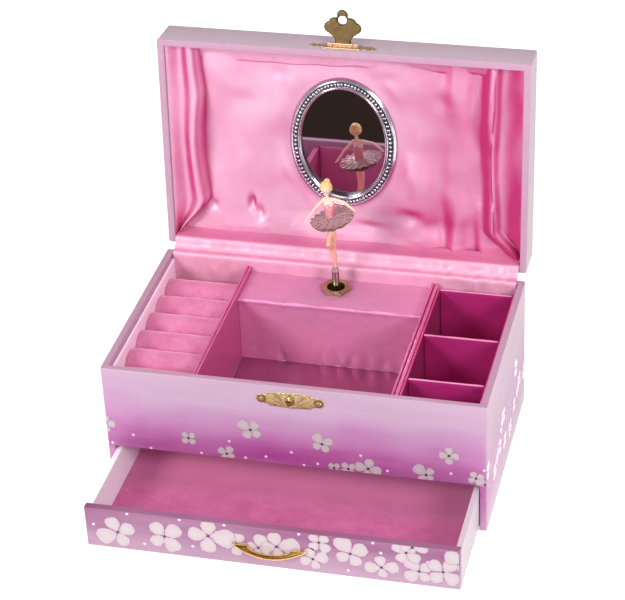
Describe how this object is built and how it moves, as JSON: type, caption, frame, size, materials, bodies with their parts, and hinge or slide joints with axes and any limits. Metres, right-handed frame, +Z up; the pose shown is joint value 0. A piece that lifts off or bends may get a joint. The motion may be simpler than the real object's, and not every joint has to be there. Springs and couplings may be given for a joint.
{
  "type": "musical jewellery box",
  "caption": "Musical jewellery box with a mirror lid, satin tray, ring rolls, a pull-out drawer and a dancer that turns on a clockwork movement.",
  "frame": {"origin": "middle of the case's underside", "axes": "+Z up, -Y is the front where the drawer opens, X is the width"},
  "size_m": [0.22, 0.2329, 0.2412],
  "materials": {
    "case_paper": "printed paper over board",
    "lid_paper": "plain paper over board",
    "card_satin": "satin",
    "deep_satin": "satin",
    "plush": "plush",
    "felt": "felt",
    "drawer_paper": "plain paper over board",
    "brass": "polished",
    "movement_brass": "turned",
    "steel": "bright",
    "silver_frame": "moulded silver",
    "mirror": "silvered",
    "skin": "painted",
    "tulle": "glitter tulle",
    "hair": "painted"
  },
  "bodies": {
    "case": {"case_front_fascia": "case_paper", "case_back": "case_paper", "case_left_side": "case_paper", "case_right_side": "case_paper", "case_base": "case_paper", "mid_deck": "drawer_paper", "floor_pads": "card_satin", "tray_divider_cards": "card_satin", "stage_top_card": "card_satin", "stage_front_card": "card_satin", "right_insert_cards": "deep_satin", "right_cross_dividers": "deep_satin", "left_side_card": "card_satin", "ring_cushion_base": "plush", "ring_rolls": "plush", "spindle_ferrule": "brass", "latch_plate": "brass", "case_brass_nails": "brass", "hinge_case_leaves": "brass", "hinge_pins": "steel", "movement_bedplate": "movement_brass", "axle_brackets": "movement_brass", "spindle_bracket": "movement_brass", "comb_block": "steel", "music_comb": "steel", "movement_screws": "steel"},
    "lid": {"lid_panel": "lid_paper", "lid_front_rail": "lid_paper", "lid_back_rail": "lid_paper", "lid_side_rails": "lid_paper", "lid_lining": "card_satin", "lid_edge_padding": "card_satin", "hinge_flap": "card_satin", "mirror_frame": "silver_frame", "mirror_glass": "mirror", "hinge_lid_leaves": "brass", "lid_brass_nails": "brass", "hasp_plate": "brass", "hasp_pin": "steel"},
    "hasp": {"hasp_leaf": "brass"},
    "drawer": {"drawer_front": "case_paper", "drawer_walls": "drawer_paper", "drawer_bottom": "drawer_paper", "drawer_felt": "felt", "drawer_pull": "brass", "drawer_pull_nails": "brass"},
    "cylinder": {"music_cylinder": "movement_brass", "cylinder_axle": "steel", "cylinder_gears": "movement_brass"},
    "barrel": {"spring_barrel": "movement_brass", "mainspring": "steel"},
    "spindle": {"spindle": "steel", "crown_wheel": "movement_brass"},
    "governor": {"governor_fan": "movement_brass"},
    "key": {"winding_arbor": "steel", "winding_key": "steel"},
    "dancer_mount": {"dancer_spring": "steel"},
    "dancer": {"dancer_figure": "skin", "dancer_tutu": "tulle", "dancer_hair": "hair"}
  },
  "joints": [
    {"name": "lid_hinge", "type": "hinge", "parent": "case", "child": "lid", "pos_m": [0, 0.0691, 0.084], "axis": [-1, 0, 0], "range_deg": [-94, 0], "deforming": ["hinge_flap"]},
    {"name": "hasp_hinge", "type": "hinge", "parent": "lid", "child": "hasp", "pos_m": [0, 0.0856, 0.21958], "axis": [-1, 0, 0], "range_deg": [-90, 80]},
    {"name": "drawer_slide", "type": "slide", "parent": "case", "child": "drawer", "axis": [0, -1, 0], "range_m": [-0.057, 0.025]},
    {"name": "cylinder_spin", "type": "hinge", "parent": "case", "child": "cylinder", "pos_m": [0, 0.05, 0.0595], "axis": [1, 0, 0], "continuous": true},
    {"name": "barrel_spin", "type": "hinge", "parent": "case", "child": "barrel", "pos_m": [-0.0225, 0.056, 0.0595], "axis": [0, 1, 0], "continuous": true},
    {"name": "spindle_spin", "type": "hinge", "parent": "case", "child": "spindle", "pos_m": [-0.001, 0.05, 0.07], "axis": [0, 0, 1], "continuous": true},
    {"name": "governor_spin", "type": "hinge", "parent": "case", "child": "governor", "pos_m": [0.04, 0.03875, 0.0595], "axis": [1, 0, 0], "continuous": true},
    {"name": "key_turn", "type": "hinge", "parent": "case", "child": "key", "pos_m": [-0.0225, 0.07, 0.0595], "axis": [0, 1, 0], "continuous": true},
    {"name": "dancer_fold", "type": "hinge", "parent": "case", "child": "dancer_mount", "pos_m": [-0.001, 0.05, 0.082], "axis": [-1, 0, 0], "range_deg": [-94, 0], "deforming": ["dancer_spring"]},
    {"name": "dancer_spin", "type": "hinge", "parent": "dancer_mount", "child": "dancer", "pos_m": [-0.001, 0.05, 0.1], "axis": [0, 0, 1], "continuous": true}
  ],
  "couplings": [
    {"joint": "barrel_spin", "follows": "cylinder_spin", "ratio": -0.36364},
    {"joint": "spindle_spin", "follows": "cylinder_spin", "ratio": -0.5},
    {"joint": "governor_spin", "follows": "cylinder_spin", "ratio": -4},
    {"joint": "dancer_spin", "follows": "cylinder_spin", "ratio": -0.5},
    {"joint": "dancer_fold", "follows": "lid_hinge", "ratio": 1}
  ]
}
